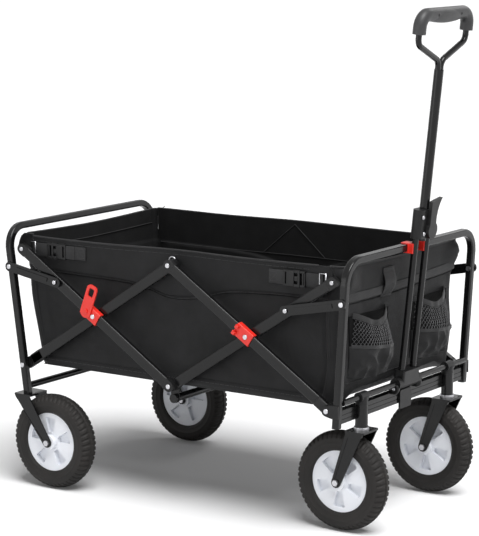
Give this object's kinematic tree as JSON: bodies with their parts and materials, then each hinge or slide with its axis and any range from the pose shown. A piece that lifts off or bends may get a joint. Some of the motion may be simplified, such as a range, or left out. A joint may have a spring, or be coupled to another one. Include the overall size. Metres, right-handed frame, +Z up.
{
  "type": "folding wagon",
  "caption": "Folding utility wagon: fabric tub in a scissor-linked tube frame, fixed rear wheels, swivelling front casters, tilting telescopic pull handle.",
  "frame": {"origin": "under the middle of the wagon's box, on the floor", "axes": "+X towards the handle, +Y to the wagon's left, +Z up"},
  "size_m": [0.9166, 0.548, 1.0161],
  "materials": {
    "frame": "black powder coat",
    "fittings": "black moulded",
    "fasteners": "zinc plated",
    "latches": "bright red moulded",
    "tyres": "black rubber",
    "hubs": "white moulded",
    "cloth": "black woven polyester",
    "boards": "stiffened, cloth covered",
    "grip": "dark grey moulded"
  },
  "bodies": {
    "rear_frame": {"rear_hoop": "frame", "rear_cross_rod": "frame", "rear_forks": "frame", "rear_axle_bolts": "fasteners", "rear_pivot_rivets": "fasteners", "tub_rear_wall": "cloth", "tub_side_walls": "cloth"},
    "rear_left_wheel": {"rear_left_tyre": "tyres", "rear_left_hub": "hubs"},
    "rear_right_wheel": {"rear_right_tyre": "tyres", "rear_right_hub": "hubs"},
    "rear_risers": {"rear_risers": "frame", "rear_riser_ends": "fittings", "rear_crossing_rivets": "fasteners"},
    "rear_fallers": {"rear_fallers": "frame", "rear_faller_ends": "fittings", "rear_latch_saddles": "latches", "bottom_rivets": "fasteners"},
    "left_latch": {"left_latch_tab": "latches"},
    "right_latch": {"right_latch_tab": "latches"},
    "front_risers": {"front_risers": "frame", "front_riser_ends": "fittings", "front_crossing_rivets": "fasteners", "front_latch_saddles": "latches"},
    "front_fallers": {"front_fallers": "frame", "front_faller_ends": "fittings"},
    "rear_struts": {"rear_struts": "frame"},
    "front_struts": {"front_struts": "frame"},
    "centre_hub": {"centre_hub_plates": "frame", "centre_cross_tube": "frame"},
    "rear_floor": {"rear_floor_board": "boards"},
    "front_floor": {"front_floor_board": "boards"},
    "front_frame": {"front_hoop": "frame", "front_rod": "frame", "front_channel": "frame", "caster_sleeves": "frame", "rod_clamps": "fittings", "front_pivot_brackets": "fittings", "front_pivot_rivets": "fasteners", "handle_bracket": "fittings", "handle_clip": "latches", "tub_front_wall": "cloth", "front_pockets": "cloth"},
    "left_caster": {"left_caster_fork": "frame", "left_kingpin": "fasteners", "left_caster_bolt": "fasteners"},
    "right_caster": {"right_caster_fork": "frame", "right_kingpin": "fasteners", "right_caster_bolt": "fasteners"},
    "front_left_wheel": {"front_left_tyre": "tyres", "front_left_hub": "hubs"},
    "front_right_wheel": {"front_right_tyre": "tyres", "front_right_hub": "hubs"},
    "handle": {"handle_foot": "fittings", "handle_tubes": "frame", "handle_collar": "fittings"},
    "clamp_lever": {"clamp_lever": "fittings"},
    "handle_top": {"handle_upper_tube": "frame", "handle_yoke": "frame", "handle_grip": "grip"}
  },
  "joints": [
    {"name": "fold", "type": "hinge", "parent": "rear_frame", "child": "rear_risers", "pos_m": [-0.41024, 0, 0.256], "axis": [0, -1, 0], "range_deg": [0, 37], "deforming": ["tub_side_walls"]},
    {"name": "rear_crossing", "type": "hinge", "parent": "rear_risers", "child": "rear_fallers", "pos_m": [-0.22224, 0, 0.379], "axis": [0, -1, 0], "range_deg": [-74, 0]},
    {"name": "top_middle", "type": "hinge", "parent": "rear_risers", "child": "front_risers", "pos_m": [-0.03424, 0, 0.502], "axis": [0, -1, 0], "range_deg": [-74, 0]},
    {"name": "front_crossing", "type": "hinge", "parent": "front_risers", "child": "front_fallers", "pos_m": [0.15376, 0, 0.379], "axis": [0, -1, 0], "range_deg": [0, 74]},
    {"name": "front_leg", "type": "hinge", "parent": "front_risers", "child": "front_frame", "pos_m": [0.34176, 0, 0.256], "axis": [0, -1, 0], "range_deg": [0, 37]},
    {"name": "rear_strut", "type": "hinge", "parent": "rear_frame", "child": "rear_struts", "pos_m": [-0.43909, 0, 0.463], "axis": [0, -1, 0], "range_deg": [0, 69.36]},
    {"name": "front_strut", "type": "hinge", "parent": "front_frame", "child": "front_struts", "pos_m": [0.37401, 0, 0.466], "axis": [0, -1, 0], "range_deg": [-68.45, 0]},
    {"name": "centre_level", "type": "hinge", "parent": "rear_fallers", "child": "centre_hub", "pos_m": [-0.03424, 0, 0.256], "axis": [0, -1, 0], "range_deg": [0, 37]},
    {"name": "rear_floor_lift", "type": "hinge", "parent": "rear_frame", "child": "rear_floor", "pos_m": [-0.36224, 0, 0.2645], "axis": [0, -1, 0], "range_deg": [0, 88.81]},
    {"name": "front_floor_lift", "type": "hinge", "parent": "front_frame", "child": "front_floor", "pos_m": [0.29376, 0, 0.2645], "axis": [0, 1, 0], "range_deg": [0, 62.91]},
    {"name": "handle_tilt", "type": "hinge", "parent": "front_frame", "child": "handle", "pos_m": [0.36776, 0, 0.272], "axis": [0, 1, 0], "range_deg": [0, 80]},
    {"name": "handle_slide", "type": "slide", "parent": "handle", "child": "handle_top", "axis": [0.1028, 0, 0.9947], "range_m": [-0.25, 0]},
    {"name": "lever_turn", "type": "hinge", "parent": "handle", "child": "clamp_lever", "pos_m": [0.41156, 0.008, 0.57912], "axis": [-0.9947, 0, 0.1028], "range_deg": [0, 110]},
    {"name": "left_latch_swing", "type": "hinge", "parent": "rear_fallers", "child": "left_latch", "pos_m": [-0.23814, 0, 0.3894], "axis": [0, -1, 0], "range_deg": [-25, 80]},
    {"name": "left_caster_swivel", "type": "hinge", "parent": "front_frame", "child": "left_caster", "pos_m": [0.36776, 0.171, 0.213], "axis": [0, 0, 1], "continuous": true},
    {"name": "front_left_wheel_spin", "type": "hinge", "parent": "left_caster", "child": "front_left_wheel", "pos_m": [0.32776, 0.171, 0.1], "axis": [0, 1, 0], "continuous": true},
    {"name": "rear_left_wheel_spin", "type": "hinge", "parent": "rear_frame", "child": "rear_left_wheel", "pos_m": [-0.33724, 0.241, 0.1], "axis": [0, 1, 0], "continuous": true},
    {"name": "right_latch_swing", "type": "hinge", "parent": "rear_fallers", "child": "right_latch", "pos_m": [-0.23814, 0, 0.3894], "axis": [0, -1, 0], "range_deg": [-25, 80]},
    {"name": "right_caster_swivel", "type": "hinge", "parent": "front_frame", "child": "right_caster", "pos_m": [0.36776, -0.171, 0.213], "axis": [0, 0, 1], "continuous": true},
    {"name": "front_right_wheel_spin", "type": "hinge", "parent": "right_caster", "child": "front_right_wheel", "pos_m": [0.32776, -0.171, 0.1], "axis": [0, 1, 0], "continuous": true},
    {"name": "rear_right_wheel_spin", "type": "hinge", "parent": "rear_frame", "child": "rear_right_wheel", "pos_m": [-0.33724, -0.241, 0.1], "axis": [0, 1, 0], "continuous": true}
  ],
  "couplings": [
    {"joint": "rear_crossing", "follows": "fold", "ratio": -2},
    {"joint": "top_middle", "follows": "fold", "ratio": -2},
    {"joint": "front_crossing", "follows": "fold", "ratio": 2},
    {"joint": "front_leg", "follows": "fold", "ratio": 1},
    {"joint": "rear_strut", "follows": "fold", "ratio": 1.8744},
    {"joint": "front_strut", "follows": "fold", "ratio": -1.8496},
    {"joint": "centre_level", "follows": "fold", "ratio": 1},
    {"joint": "rear_floor_lift", "follows": "fold", "ratio": 2.4},
    {"joint": "front_floor_lift", "follows": "fold", "ratio": 1.7}
  ]
}
